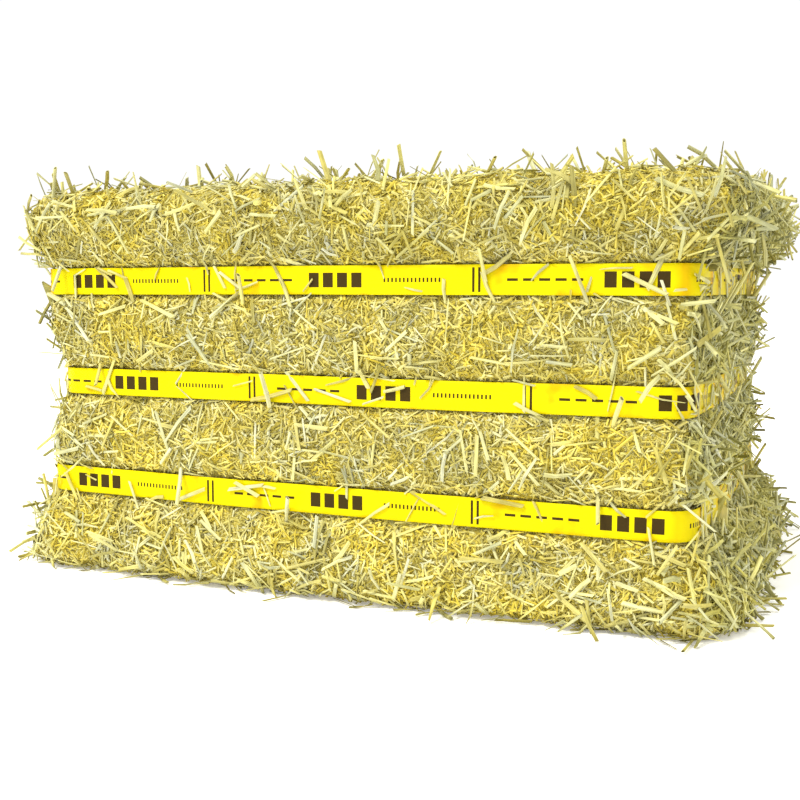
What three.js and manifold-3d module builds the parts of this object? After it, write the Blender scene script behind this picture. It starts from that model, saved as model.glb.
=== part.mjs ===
// A compressed bale of cereal straw, held by three flat plastic straps that run round it.
// Millimetres, +Z up. The origin is the centre of the flat underside; +X runs along the
// long side and -Y is the front. Straw is the straw mass itself, with stubs of its stems
// standing out of it. A stalk is one long stem that is caught in the straw at one end and
// lies free across a strap or stands out past an edge.
import * as THREE from "three";
import { mergeVertices } from "three/addons/utils/BufferGeometryUtils.js";
import Module from "manifold-3d";

// Driving dimensions: the bale, measured where the straps hold it.
const BALE_LENGTH = 638;
const BALE_DEPTH = 490;
const BALE_HEIGHT = 370;
const CORNER_RADIUS = 26;
const CORNER_SOFTENING = 24; // how much rounder the corners are where the straw flares out
const FACE_BOW = 5; // how far each side bows out between its corners

// The straps, and how far each one pulls the straw in at the bale's left, right and faces.
const STRAP_WIDTH = 25.4;
const STRAP_THICKNESS = 0.9;
const STRAP_PITCH = 98;
const LOWEST_STRAP = 88;
const WELD_LENGTH = 62; // where a strap's two ends lie over each other at the back
const STRAPS = [
  { name: "strap_bottom", z: LOWEST_STRAP, left: 0, right: 0, face: 0 },
  { name: "strap_middle", z: LOWEST_STRAP + STRAP_PITCH, left: 13.5, right: 5.5, face: 5.5 },
  { name: "strap_top", z: LOWEST_STRAP + 2 * STRAP_PITCH, left: 0, right: 0, face: 0 },
];
const TOUCH_GAP = 0.3; // between pieces that touch
const GROOVE_HALF = STRAP_WIDTH / 2 + 0.5;

// How far the straw swells out past the strap lines: between two straps, and at the
// bale's top and bottom, where nothing holds it in.
const END_BULGE = 3;
const FACE_BULGE = 6;
const TOP_FLARE = { left: 22, right: 34, face: 18 };
const BOTTOM_FLARE = { left: 28, right: 38, face: 18 };
const TOP_KNEE = 0.62; // the share of the way to the top at which the flare is full
const BOTTOM_KNEE = 0.95;
const EDGE_ROUND = 22;
const TOP_CROWN = 3;
const LUMP_HEIGHT = 4;
const LUMP_SIZE = 84;
const ROUGHNESS = 2; // of the straw's skin, at random

// Stems are part of the straw, and stand out of its sides, top and rims. Stalks are loose.
const STEM_RADIUS = 3.2;
const STEM_ROOT = 8;
const SIDE_STEMS = 78;
const TOP_STEMS = 28;
const RIM_STEMS = 50;
const STALK_RADIUS = 2.4;
const STALK_SIDES = 6;
const STALKS_PER_STRAP = 10;
const TOP_STALKS = 6;
const END_STALKS = 6;
const STALK_ROOT = 4; // how far inside a strap's own line its stalks start
const STALK_SPACING = 9;

const STRAP_SIDE_STEPS = 6; // outline steps along each straight side of a strap
const STRAW_SIDE_STEPS = 11; // and of the straw, which has the same corners
const CORNER_POINTS = 5;

const STRAW = new THREE.MeshStandardMaterial({ color: 0xd9c86a, roughness: 0.85 });
const STALK = new THREE.MeshStandardMaterial({ color: 0xe9e2a0, roughness: 0.6 });
const STRAP = new THREE.MeshStandardMaterial({ color: 0xfff200, roughness: 0.4 });

const wasm = await Module();
wasm.setup();

// A repeatable stream of numbers from 0 to 1.
function randomStream(seed) {
  let state = seed >>> 0;
  return () => {
    state = (state + 0x6d2b79f5) >>> 0;
    let mixed = Math.imul(state ^ (state >>> 15), state | 1);
    mixed ^= mixed + Math.imul(mixed ^ (mixed >>> 7), mixed | 61);
    return ((mixed ^ (mixed >>> 14)) >>> 0) / 4294967296;
  };
}

const random = randomStream(41);
const between = (low, high) => low + (high - low) * random();

// Three.js geometry to a manifold solid, and back.
function toSolid(geometry, matrix = new THREE.Matrix4()) {
  const plain = new THREE.BufferGeometry();
  plain.setAttribute("position", geometry.getAttribute("position").clone());
  if (geometry.index) plain.setIndex(geometry.index.clone());
  plain.applyMatrix4(matrix);
  const merged = mergeVertices(plain, 1e-4);
  return new wasm.Manifold(
    new wasm.Mesh({
      numProp: 3,
      vertProperties: new Float32Array(merged.attributes.position.array),
      triVerts: new Uint32Array(merged.index.array),
    }),
  );
}

function toGeometry(solid) {
  const mesh = solid.getMesh();
  const geometry = new THREE.BufferGeometry();
  geometry.setAttribute("position", new THREE.BufferAttribute(mesh.vertProperties, 3));
  geometry.setIndex(new THREE.BufferAttribute(mesh.triVerts, 1));
  geometry.computeVertexNormals();
  return geometry;
}

// Smooth lumps from a few crossed waves, from -1 to 1.
function lump(x, y, z) {
  const k = (2 * Math.PI) / LUMP_SIZE;
  const one = Math.sin(k * (x + 0.6 * z)) * Math.cos(k * 0.8 * (y - 0.4 * z));
  const two = Math.sin(k * 1.7 * (z + 0.3 * x) + 1.1) * Math.cos(k * 1.3 * (x - y));
  return 0.6 * one + 0.4 * two;
}

const smooth = (t) => t * t * (3 - 2 * t);

// The strap whose groove a height lies in, if any.
const holding = (z) => STRAPS.find((strap) => Math.abs(z - strap.z) < GROOVE_HALF + 0.01);

// How far the straps pull the straw in at a height, by side of the bale.
function pinch(z, side) {
  const held = holding(z);
  if (held) return held[side];
  const place = THREE.MathUtils.clamp((z - LOWEST_STRAP) / STRAP_PITCH, 0, STRAPS.length - 1);
  const below = Math.min(Math.floor(place), STRAPS.length - 2);
  return THREE.MathUtils.lerp(
    STRAPS[below][side],
    STRAPS[below + 1][side],
    smooth(place - below),
  );
}

// How full the straw stands at a height: 0 under a strap, 1 at a bulge's or flare's fullest.
function fullness(z) {
  const first = STRAPS[0].z - GROOVE_HALF;
  const last = STRAPS[STRAPS.length - 1].z + GROOVE_HALF;
  const above = (z - last) / (BALE_HEIGHT - last) / TOP_KNEE;
  const outer = z < first ? (first - z) / first / BOTTOM_KNEE : above;
  if (outer > 0) return { flare: Math.sin((Math.PI / 2) * Math.min(1, outer)), bulge: 0 };
  for (let i = 0; i + 1 < STRAPS.length; i++) {
    const low = STRAPS[i].z + GROOVE_HALF;
    const high = STRAPS[i + 1].z - GROOVE_HALF;
    if (z > low && z < high) {
      return { flare: 0, bulge: Math.sin((Math.PI * (z - low)) / (high - low)) ** 0.7 };
    }
  }
  return { flare: 0, bulge: 0 };
}

// The walls' distances from the origin at a height, without the lumps, and the corners' radius.
function walls(z) {
  const { flare, bulge } = fullness(z);
  const most = z < BALE_HEIGHT / 2 ? BOTTOM_FLARE : TOP_FLARE;
  const end = BALE_LENGTH / 2 + END_BULGE * bulge;
  const face = BALE_DEPTH / 2 + FACE_BULGE * bulge;
  return {
    left: end + most.left * flare - pinch(z, "left"),
    right: end + most.right * flare - pinch(z, "right"),
    face: face + most.face * flare - pinch(z, "face"),
    corner: CORNER_RADIUS + CORNER_SOFTENING * flare,
  };
}

// A rounded rectangle with bowed sides, counterclockwise, from the walls' distances.
// grow moves the whole outline outwards. Each point carries its outward normal.
function outline({ left, right, face, corner }, grow, sideSteps) {
  const centre = (right - left) / 2;
  const halfX = (right + left) / 2 - corner;
  const halfY = face - corner;
  const radius = corner + grow;
  const points = [];
  for (let quarter = 0; quarter < 4; quarter++) {
    const signX = quarter === 0 || quarter === 3 ? 1 : -1;
    const signY = quarter < 2 ? 1 : -1;
    for (let i = 0; i < CORNER_POINTS; i++) {
      const angle = (Math.PI / 2) * (quarter + i / (CORNER_POINTS - 1));
      const nx = Math.cos(angle);
      const ny = Math.sin(angle);
      points.push({
        x: centre + signX * halfX + radius * nx,
        y: signY * halfY + radius * ny,
        nx,
        ny,
      });
    }
    const alongX = quarter % 2 === 0;
    const normal = (Math.PI / 2) * (quarter + 1);
    const nx = Math.round(Math.cos(normal));
    const ny = Math.round(Math.sin(normal));
    for (let i = 1; i < sideSteps; i++) {
      const t = i / sideSteps;
      const bow = 4 * FACE_BOW * t * (1 - t);
      const run = 1 - 2 * t;
      points.push({
        x: alongX ? centre + signX * halfX * run : centre + nx * (halfX + radius + bow),
        y: alongX ? ny * (halfY + radius + bow) : signY * halfY * run,
        nx,
        ny,
      });
    }
  }
  return points;
}

// A point on the straw at a share of the way round it (0 to 1) and a height.
function onStraw(around, z) {
  const points = outline(walls(z), 0, STRAW_SIDE_STEPS);
  const run = points.map((a, i) => {
    const b = points[(i + 1) % points.length];
    return Math.hypot(b.x - a.x, b.y - a.y);
  });
  let left = (around % 1) * run.reduce((sum, step) => sum + step, 0);
  let i = 0;
  while (left > run[i]) left -= run[i++];
  const t = left / run[i];
  const a = points[i];
  const b = points[(i + 1) % points.length];
  const mix = THREE.MathUtils.lerp;
  return {
    point: new THREE.Vector3(mix(a.x, b.x, t), mix(a.y, b.y, t), z),
    normal: new THREE.Vector3(mix(a.nx, b.nx, t), mix(a.ny, b.ny, t), 0).normalize(),
  };
}

// One closed skin over rings of points that all have the same number of points.
function skin(rings, bottomCentre, topCentre) {
  const count = rings[0].length;
  const vertices = [...rings.flat(), bottomCentre, topCentre];
  const low = vertices.length - 2;
  const high = vertices.length - 1;
  const faces = [];
  for (let i = 0; i < count; i++) {
    const next = (i + 1) % count;
    faces.push(low, next, i);
    for (let ring = 0; ring + 1 < rings.length; ring++) {
      const a = ring * count + i;
      const b = ring * count + next;
      faces.push(a, b, b + count, a, b + count, a + count);
    }
    const top = (rings.length - 1) * count;
    faces.push(top + i, top + next, high);
  }
  const geometry = new THREE.BufferGeometry().setFromPoints(vertices);
  geometry.setIndex(faces);
  return geometry;
}

// The straw mass: rings up the walls, over the rounded top edge and in over the crowned top.
function strawMass() {
  const ringAt = (z, inset, lumps, height = z) =>
    outline(walls(z), -inset, STRAW_SIDE_STEPS).map(({ x, y, nx, ny }) => {
      const out = lumps * (LUMP_HEIGHT * lump(x, y, height) + between(-ROUGHNESS, ROUGHNESS));
      return new THREE.Vector3(x + nx * out, y + ny * out, height);
    });
  const rings = [ringAt(0, EDGE_ROUND, 0)];
  const roundSteps = [30, 60];
  for (const degrees of roundSteps) {
    const angle = THREE.MathUtils.degToRad(degrees);
    rings.push(ringAt(EDGE_ROUND * (1 - Math.cos(angle)), EDGE_ROUND * (1 - Math.sin(angle)), 0.5));
  }
  const wallHeights = [EDGE_ROUND];
  const spans = [EDGE_ROUND, ...STRAPS.map((strap) => strap.z), BALE_HEIGHT - EDGE_ROUND];
  const spanSteps = 3;
  for (let i = 0; i + 1 < spans.length; i++) {
    const low = i === 0 ? spans[0] : spans[i] + GROOVE_HALF;
    const high = i + 2 === spans.length ? spans[i + 1] : spans[i + 1] - GROOVE_HALF;
    for (let step = i === 0 ? 1 : 0; step <= spanSteps; step++) {
      wallHeights.push(low + ((high - low) * step) / spanSteps);
    }
  }
  for (const z of wallHeights) rings.push(holding(z) ? ringAt(z, TOUCH_GAP, 0) : ringAt(z, 0, 1));
  for (const degrees of [...roundSteps].reverse()) {
    const angle = THREE.MathUtils.degToRad(degrees);
    const height = BALE_HEIGHT - EDGE_ROUND * (1 - Math.cos(angle));
    rings.push(ringAt(BALE_HEIGHT, EDGE_ROUND * (1 - Math.sin(angle)), 0.5, height));
  }
  const lid = ringAt(BALE_HEIGHT, EDGE_ROUND, 0);
  for (const share of [1, 0.84, 0.62, 0.36]) {
    rings.push(
      lid.map(({ x, y }) => {
        const lumps = (1 - share ** 8) * LUMP_HEIGHT * lump(x * share, y * share, 0);
        const rise = TOP_CROWN * (1 - share) + lumps;
        return new THREE.Vector3(x * share, y * share, BALE_HEIGHT + rise);
      }),
    );
  }
  const centreRise = TOP_CROWN + LUMP_HEIGHT * lump(0, 0, 0);
  return toSolid(
    skin(rings, new THREE.Vector3(0, 0, 0), new THREE.Vector3(0, 0, BALE_HEIGHT + centreRise)),
  );
}

// The matrix that puts a bar along +Y between two points, turned about itself by roll.
function barMatrix(from, to, roll) {
  const along = to.clone().sub(from);
  const turn = new THREE.Quaternion().setFromUnitVectors(
    new THREE.Vector3(0, 1, 0),
    along.clone().normalize(),
  );
  turn.multiply(new THREE.Quaternion().setFromAxisAngle(new THREE.Vector3(0, 1, 0), roll));
  const middle = from.clone().addScaledVector(along, 0.5);
  return new THREE.Matrix4().compose(middle, turn, new THREE.Vector3(1, 1, 1));
}

// A split stem, rooted in the straw and standing out of it.
function stem({ root, tip }) {
  const bar = new THREE.CylinderGeometry(STEM_RADIUS, STEM_RADIUS, root.distanceTo(tip), 3);
  return toSolid(bar, barMatrix(root, tip, between(0, Math.PI)));
}

// True where a stem from root to tip would reach into a strap's groove.
function crossesGroove(root, tip) {
  const reach = GROOVE_HALF + STEM_RADIUS + 0.5;
  const low = Math.min(root.z, tip.z);
  const high = Math.max(root.z, tip.z);
  return STRAPS.some((strap) => low < strap.z + reach && high > strap.z - reach);
}

// A direction that leans out from a surface: mostly along it, tilted out by some degrees.
function leaning(normal, spin, tiltDegrees) {
  const side = new THREE.Vector3(0, 0, 1).cross(normal);
  if (side.lengthSq() < 1e-6) side.set(1, 0, 0);
  side.normalize();
  const up = normal.clone().cross(side);
  const tilt = THREE.MathUtils.degToRad(tiltDegrees);
  return side
    .multiplyScalar(Math.cos(spin))
    .addScaledVector(up, Math.sin(spin))
    .multiplyScalar(Math.cos(tilt))
    .addScaledVector(normal, Math.sin(tilt));
}

// A stem's ends: sunk in the straw at a point, and leaning out of it.
function stemFrom(point, normal, tiltDegrees, length) {
  const way = leaning(normal, between(0, 2 * Math.PI), tiltDegrees);
  return {
    root: point.clone().addScaledVector(normal, -STEM_ROOT),
    tip: point.clone().addScaledVector(way, length),
  };
}

// Makes count stems in places that are clear of the straps and the floor.
function scatter(count, place) {
  const made = [];
  while (made.length < count) {
    const ends = place();
    if (ends.tip.z > STEM_RADIUS + 1 && !crossesGroove(ends.root, ends.tip)) made.push(stem(ends));
  }
  return made;
}

function sideStem() {
  const { point, normal } = onStraw(random(), between(16, BALE_HEIGHT - 16));
  return stemFrom(point, normal, between(10, 24), between(26, 48));
}

function topStem() {
  const x = between(-0.44, 0.44) * BALE_LENGTH;
  const y = between(-0.44, 0.44) * BALE_DEPTH;
  const up = new THREE.Vector3(0, 0, 1);
  return stemFrom(new THREE.Vector3(x, y, BALE_HEIGHT), up, between(10, 30), between(28, 46));
}

function rimStem() {
  const upper = random() < 0.55;
  const { point, normal } = onStraw(random(), upper ? BALE_HEIGHT - 7 : 9);
  point.addScaledVector(normal, -EDGE_ROUND * 0.3);
  normal.z = upper ? 0.8 : 0;
  return stemFrom(point, normal.normalize(), between(25, 65), between(16, 28));
}

// Loose stalks: each is a pair of ends. A strap's stalks start in the straw beside it and
// lie across it, clear of it. The others stand out of the top and of the two ends.
function stalkEnds() {
  const ends = [];
  const points = (a, b) => Array.from({ length: 13 }, (_, i) => a.clone().lerp(b, i / 12));
  const free = (root, tip) =>
    ends.every(([a, b]) =>
      points(a, b).every((p) => points(root, tip).every((q) => p.distanceTo(q) > STALK_SPACING)),
    );
  const keep = (root, tip) => {
    if (!free(root, tip)) return false;
    ends.push([root, tip]);
    return true;
  };
  for (const strap of STRAPS) {
    for (let i = 0; i < STALKS_PER_STRAP; ) {
      const way = random() < 0.5 ? 1 : -1;
      const { point, normal } = onStraw((i + between(0.1, 0.9)) / STALKS_PER_STRAP, strap.z);
      const aside = new THREE.Vector3(-normal.y, normal.x, 0);
      const beside = between(16, 20);
      const across = between(12, STRAP_WIDTH + 6);
      const slope = (STALK_ROOT + between(5.4, 6.6)) / beside;
      const root = point.clone().addScaledVector(normal, -STALK_ROOT);
      root.z += way * (GROOVE_HALF + beside);
      const tip = point.clone().addScaledVector(normal, slope * (beside + across) - STALK_ROOT);
      tip.z += way * (GROOVE_HALF - across);
      tip.addScaledVector(aside, between(-14, 14));
      if (keep(root, tip)) i++;
    }
  }
  for (let i = 0; i < TOP_STALKS; ) {
    const { point, normal } = onStraw((i + between(0.1, 0.9)) / TOP_STALKS, BALE_HEIGHT - 30);
    const root = point.addScaledVector(normal, -between(26, 34));
    root.z = BALE_HEIGHT - 14;
    const tip = root.clone().addScaledVector(normal, between(6, 30));
    tip.z = BALE_HEIGHT + between(14, 24);
    if (keep(root, tip)) i++;
  }
  for (let i = 0; i < END_STALKS; ) {
    const rightEnd = i % 2 ? 1 : -1;
    const z = i < END_STALKS / 2 ? between(18, 46) : BALE_HEIGHT - between(20, 46);
    const y = between(-0.36, 0.36) * BALE_DEPTH;
    const wall = rightEnd > 0 ? walls(z).right : walls(z).left;
    const root = new THREE.Vector3(rightEnd * (wall - 12), y, z);
    const tip = root.clone();
    tip.x = rightEnd * (wall + between(12, 20));
    tip.y += between(-16, 16);
    tip.z += between(-8, 8);
    if (keep(root, tip)) i++;
  }
  return ends;
}

function stalkSolid([root, tip], grow = 0) {
  const length = root.distanceTo(tip) + 2 * grow;
  const radius = STALK_RADIUS + grow;
  const rod = new THREE.CylinderGeometry(radius, radius, length, STALK_SIDES);
  return toSolid(rod, barMatrix(root, tip, 0));
}

// A strap: a flat band round the outline at its height, its ends welded over each other.
function strapSolid(strap) {
  const hold = walls(strap.z);
  const toPoints = (list) => list.map(({ x, y }) => new THREE.Vector2(x, y));
  const extrude = (shape, depth, low) =>
    toSolid(
      new THREE.ExtrudeGeometry(shape, { depth, bevelEnabled: false }),
      new THREE.Matrix4().makeTranslation(0, 0, low),
    );
  const band = new THREE.Shape(toPoints(outline(hold, STRAP_THICKNESS, STRAP_SIDE_STEPS)));
  band.holes.push(new THREE.Path(toPoints(outline(hold, 0, STRAP_SIDE_STEPS)).reverse()));
  const loop = extrude(band, STRAP_WIDTH, strap.z - STRAP_WIDTH / 2);
  const lapInner = hold.face + FACE_BOW + STRAP_THICKNESS - 0.5;
  const lapOuter = hold.face + FACE_BOW + 2 * STRAP_THICKNESS;
  const lap = new THREE.Shape();
  lap.moveTo(-WELD_LENGTH / 2, lapInner);
  lap.lineTo(WELD_LENGTH / 2, lapInner);
  lap.lineTo(WELD_LENGTH / 2, lapOuter);
  lap.lineTo(-WELD_LENGTH / 2, lapOuter);
  return loop.add(extrude(lap, STRAP_WIDTH, strap.z - STRAP_WIDTH / 2));
}

function named(name, solid, material) {
  const mesh = new THREE.Mesh(toGeometry(solid), material);
  mesh.name = name;
  return mesh;
}

const stems = [
  ...scatter(SIDE_STEMS, sideStem),
  ...scatter(TOP_STEMS, topStem),
  ...scatter(RIM_STEMS, rimStem),
];
const stalks = stalkEnds();
const fused = wasm.Manifold.union([strawMass(), ...stems]);
const pockets = wasm.Manifold.union(stalks.map((ends) => stalkSolid(ends, TOUCH_GAP)));
const strawSolid = fused
  .subtract(pockets)
  .decompose()
  .reduce((most, next) => (next.volume() > most.volume() ? next : most));

const group = new THREE.Group();
group.add(named("straw", strawSolid, STRAW));
for (const strap of STRAPS) group.add(named(strap.name, strapSolid(strap), STRAP));
stalks.forEach((ends, i) => {
  group.add(named(`stalk_${String(i + 1).padStart(2, "0")}`, stalkSolid(ends), STALK));
});

export default group;
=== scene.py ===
import math

import bmesh
import bpy
import numpy as np
from mathutils import Matrix, Vector, noise


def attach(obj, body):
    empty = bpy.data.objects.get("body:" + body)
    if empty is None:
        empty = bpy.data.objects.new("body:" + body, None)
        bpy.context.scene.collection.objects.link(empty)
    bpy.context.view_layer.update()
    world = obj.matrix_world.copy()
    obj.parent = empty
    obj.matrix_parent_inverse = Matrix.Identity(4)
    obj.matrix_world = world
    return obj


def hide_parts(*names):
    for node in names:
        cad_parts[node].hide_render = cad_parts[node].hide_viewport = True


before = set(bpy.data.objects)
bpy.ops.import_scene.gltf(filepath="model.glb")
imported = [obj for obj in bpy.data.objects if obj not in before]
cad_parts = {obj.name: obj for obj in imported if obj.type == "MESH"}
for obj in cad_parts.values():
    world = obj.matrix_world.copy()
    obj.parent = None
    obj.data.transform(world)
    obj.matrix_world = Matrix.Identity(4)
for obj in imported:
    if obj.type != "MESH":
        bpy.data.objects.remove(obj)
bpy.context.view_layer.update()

# The view
# The photograph is taken from the bale's front right, a little above the middle of its height,
# with a normal lens. The plain view transform keeps white white and the straps fully yellow.
LENS = 48.9
CAMERA_PLACE = (0.434, -1.110, 0.2746)
LOOKS_DOWN = 5.72  # degrees below level
LOOKS_LEFT = 22.88


def add_object(name, data):
    """A new object in the scene."""
    made = bpy.data.objects.new(name, data)
    bpy.context.scene.collection.objects.link(made)
    return made


camera_data = bpy.data.cameras.new("camera")
camera_data.lens = LENS
camera = add_object("camera", camera_data)
camera.location = CAMERA_PLACE
camera.rotation_euler = (math.radians(90 - LOOKS_DOWN), 0, math.radians(LOOKS_LEFT))
bpy.context.scene.camera = camera
bpy.context.scene.view_settings.view_transform = "Standard"


# The straw mass
# Thousands of chopped wheat straws pressed into one block, 638 by 490 by 370 mm where the straps
# hold it. It swells out past the straps, most of all at its top and bottom. This skin is the
# matted surface that the single straws below are laid on.
BALE_LENGTH = 0.638
BALE_DEPTH = 0.490
BALE_HEIGHT = 0.370
CORNER_RADIUS = 0.026
CORNER_SOFTENING = 0.024
FACE_BOW = 0.005
STRAP_WIDTH = 0.0254
STRAP_PITCH = 0.098
LOWEST_STRAP = 0.088
STRAPS = {
    "strap_bottom": {"z": LOWEST_STRAP, "left": 0, "right": 0, "face": 0},
    "strap_middle": {"z": LOWEST_STRAP + STRAP_PITCH, "left": 0.0135, "right": 0.0055, "face": 0.0055},
    "strap_top": {"z": LOWEST_STRAP + 2 * STRAP_PITCH, "left": 0, "right": 0, "face": 0},
}
STRAP_LINES = [strap["z"] for strap in STRAPS.values()]
GROOVE_HALF = STRAP_WIDTH / 2 + 0.0005
GROOVE_DEPTH = 0.003  # the skin lies this far behind a strap, so a dark line runs along its edges
GROOVE_SHOULDER = 0.005
GROOVE_RINGS = 5
HAIR = 1e-5  # a height this little past a groove's edge still lies in the groove
END_BULGE = 0.003
FACE_BULGE = 0.006
BULGE_CURVE = 0.7  # under 1, a bulge is fuller than a sine
TOP_FLARE = {"left": 0.022, "right": 0.034, "face": 0.018}
BOTTOM_FLARE = {"left": 0.034, "right": 0.038, "face": 0.018}
TOP_KNEE = 0.62  # the share of the way to the top at which the flare is full
BOTTOM_KNEE = 0.95
EDGE_ROUND = 0.022
FOOT_ROUND = 0.013
ROUND_STEPS = (20, 40, 60, 75)  # degrees round an edge
ROUND_LUMPS = 0.5  # the lumps on a round edge, as a share of those on the walls
TOP_CROWN = 0.003
LUMP_HEIGHT = 0.004
LUMP_SIZE = 0.084
FINE_LUMP_HEIGHT = 0.0032
FINE_LUMPS = 70  # per metre
SKIN_STEP = 0.0095
SKIN_DEPTH = 0.0025  # the skin lies this far in from the bale's outline
INNER_RING = 0.04  # the smallest ring of the top and underside, as a share of the largest
UNDERSIDE_RINGS = 24
TOP_RINGS = 26
FLOOR_GAP = 0.003
LOOSE_REACH = 0.05  # how far from a rim or corner the straws still stand loose
FOOT_FRINGE = 3.0  # how many times as many straws stand out round the foot as at the other rims
FRONT, RIGHT, BACK, LEFT, TOP, BOTTOM = range(6)


def colour(red, green, blue):
    """A colour given as on a screen, from 0 to 255, as the linear values that a shader takes."""
    screen = [c / 255 for c in (red, green, blue)]
    return [c / 12.92 if c < 0.04045 else ((c + 0.055) / 1.055) ** 2.4 for c in screen] + [1]


def add_node(tree, kind, inputs=None, **settings):
    """A node with its settings, its inputs linked or set by name or number."""
    made = tree.nodes.new(kind)
    for name, value in settings.items():
        setattr(made, name, value)
    for place, value in (inputs or {}).items():
        if isinstance(value, bpy.types.NodeSocket):
            tree.links.new(value, made.inputs[place])
        else:
            made.inputs[place].default_value = value
    return made


def result(tree, kind, inputs=None, **settings):
    """The first output of such a node."""
    return add_node(tree, kind, inputs, **settings).outputs[0]


def math_node(tree, operation, *values):
    """The result of a sum on one, two or three values or sockets."""
    return result(tree, "ShaderNodeMath", dict(enumerate(values)), operation=operation)


def vector_node(tree, operation, *values):
    """The same for vectors."""
    inputs = dict(enumerate(values))
    if operation == "SCALE":
        inputs = {0: values[0], "Scale": values[1]}
    made = add_node(tree, "ShaderNodeVectorMath", inputs, operation=operation)
    return made.outputs["Value" if operation in ("DOT_PRODUCT", "LENGTH") else "Vector"]


def mixed(tree, factor, low, high):
    """A number between two others, which may be sockets."""
    return result(tree, "ShaderNodeMix", {0: factor, 2: low, 3: high})


def rescaled(tree, value, low, high, new_low=0.0, new_high=1.0):
    """A value carried from one range to another, and held inside it."""
    return result(tree, "ShaderNodeMapRange", {0: value, 1: low, 2: high, 3: new_low, 4: new_high})


def ramp(tree, factor, stops):
    """A colour ramp from (place, colour) pairs."""
    made = add_node(tree, "ShaderNodeValToRGB", {"Fac": factor})
    while len(made.color_ramp.elements) < len(stops):
        made.color_ramp.elements.new(1)
    for element, (place, value) in zip(made.color_ramp.elements, stops):
        element.position = place
        element.color = value
    return made.outputs["Color"]


def screen_ramp(tree, factor, stops):
    """The same from (place, red, green, blue), each colour given as on a screen."""
    return ramp(tree, factor, [(place, colour(*shade)) for place, *shade in stops])


def new_material(name, **settings):
    """A material with one Principled shader: its tree, the shader, and plain values set on it."""
    made = bpy.data.materials.new(name)
    made.use_nodes = True
    shader = made.node_tree.nodes["Principled BSDF"]
    for setting, value in settings.items():
        shader.inputs[setting.replace("_", " ")].default_value = value
    return made, made.node_tree, shader


def finish_shader(tree, shader, base, height, distance, strength):
    """Links the shader's colour and its bump, which is raised from a height."""
    tree.links.new(base, shader.inputs["Base Color"])
    bump = result(tree, "ShaderNodeBump", {"Height": height, "Distance": distance, "Strength": strength})
    tree.links.new(bump, shader.inputs["Normal"])


def read(items, field, width=1, kind=float):
    """One field of all the items of a mesh, as an array with a row for each item."""
    values = np.zeros(len(items) * width, kind)
    items.foreach_get(field, values)
    return values.reshape(-1, width) if width > 1 else values


def mark(mesh, name, kind, domain, values):
    """Stores a number for each face or point of a mesh under a name."""
    mesh.attributes.new(name, kind, domain).data.foreach_set("value", values)


def smooth(t):
    return t * t * (3 - 2 * t)


def pulled_in(height, side):
    """How far the straps pull the straw in at a height."""
    held = [strap[side] for strap in STRAPS.values()]
    for line, inward in zip(STRAP_LINES, held):
        if abs(height - line) < GROOVE_HALF + HAIR:
            return inward
    place = min(max((height - LOWEST_STRAP) / STRAP_PITCH, 0), len(held) - 1)
    below = min(int(place), len(held) - 2)
    return held[below] + (held[below + 1] - held[below]) * smooth(place - below)


def fullness(height):
    """How full the straw stands at a height: its flare at top and bottom, its bulge between straps."""
    first, last = STRAP_LINES[0] - GROOVE_HALF, STRAP_LINES[-1] + GROOVE_HALF
    above = (height - last) / (BALE_HEIGHT - last) / TOP_KNEE
    outer = (first - height) / first / BOTTOM_KNEE if height < first else above
    if outer > 0:
        return math.sin(math.pi / 2 * min(1, outer)), 0
    for low, high in zip(STRAP_LINES, STRAP_LINES[1:]):
        low, high = low + GROOVE_HALF, high - GROOVE_HALF
        if low < height < high:
            return 0, math.sin(math.pi * (height - low) / (high - low)) ** BULGE_CURVE
    return 0, 0


def walls(height):
    """The distances of the left end, right end and two faces from the bale's middle, and the
    corners' radius."""
    flare, bulge = fullness(height)
    most = BOTTOM_FLARE if height < BALE_HEIGHT / 2 else TOP_FLARE
    end = BALE_LENGTH / 2 + END_BULGE * bulge
    face = BALE_DEPTH / 2 + FACE_BULGE * bulge
    return (
        end + most["left"] * flare - pulled_in(height, "left"),
        end + most["right"] * flare - pulled_in(height, "right"),
        face + most["face"] * flare - pulled_in(height, "face"),
        CORNER_RADIUS + CORNER_SOFTENING * flare,
    )


def outline(height, grow, step, corner_steps=6):
    """Points and outward normals round the bale at a height: straight bowed sides, round corners."""
    left, right, face, corner = walls(height)
    centre = (right - left) / 2
    half_x = (right + left) / 2 - corner
    half_y = face - corner
    radius = corner + grow
    side_steps = [round(BALE_LENGTH / step), round(BALE_DEPTH / step)]
    points = []
    for quarter in range(4):
        sign_x = 1 if quarter in (0, 3) else -1
        sign_y = 1 if quarter < 2 else -1
        for i in range(corner_steps + 1):
            angle = math.pi / 2 * (quarter + i / corner_steps)
            nx, ny = math.cos(angle), math.sin(angle)
            x = centre + sign_x * half_x + radius * nx
            points.append((x, sign_y * half_y + radius * ny, nx, ny))
        nx = round(math.cos(math.pi / 2 * (quarter + 1)))
        ny = round(math.sin(math.pi / 2 * (quarter + 1)))
        steps = side_steps[quarter % 2]
        for i in range(1, steps):
            t = i / steps
            out = radius + 4 * FACE_BOW * t * (1 - t)
            run = 1 - 2 * t
            if quarter % 2 == 0:
                points.append((centre + sign_x * half_x * run, ny * (half_y + out), nx, ny))
            else:
                points.append((centre + nx * (half_x + out), sign_y * half_y * run, nx, ny))
    return np.array(points)


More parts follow.
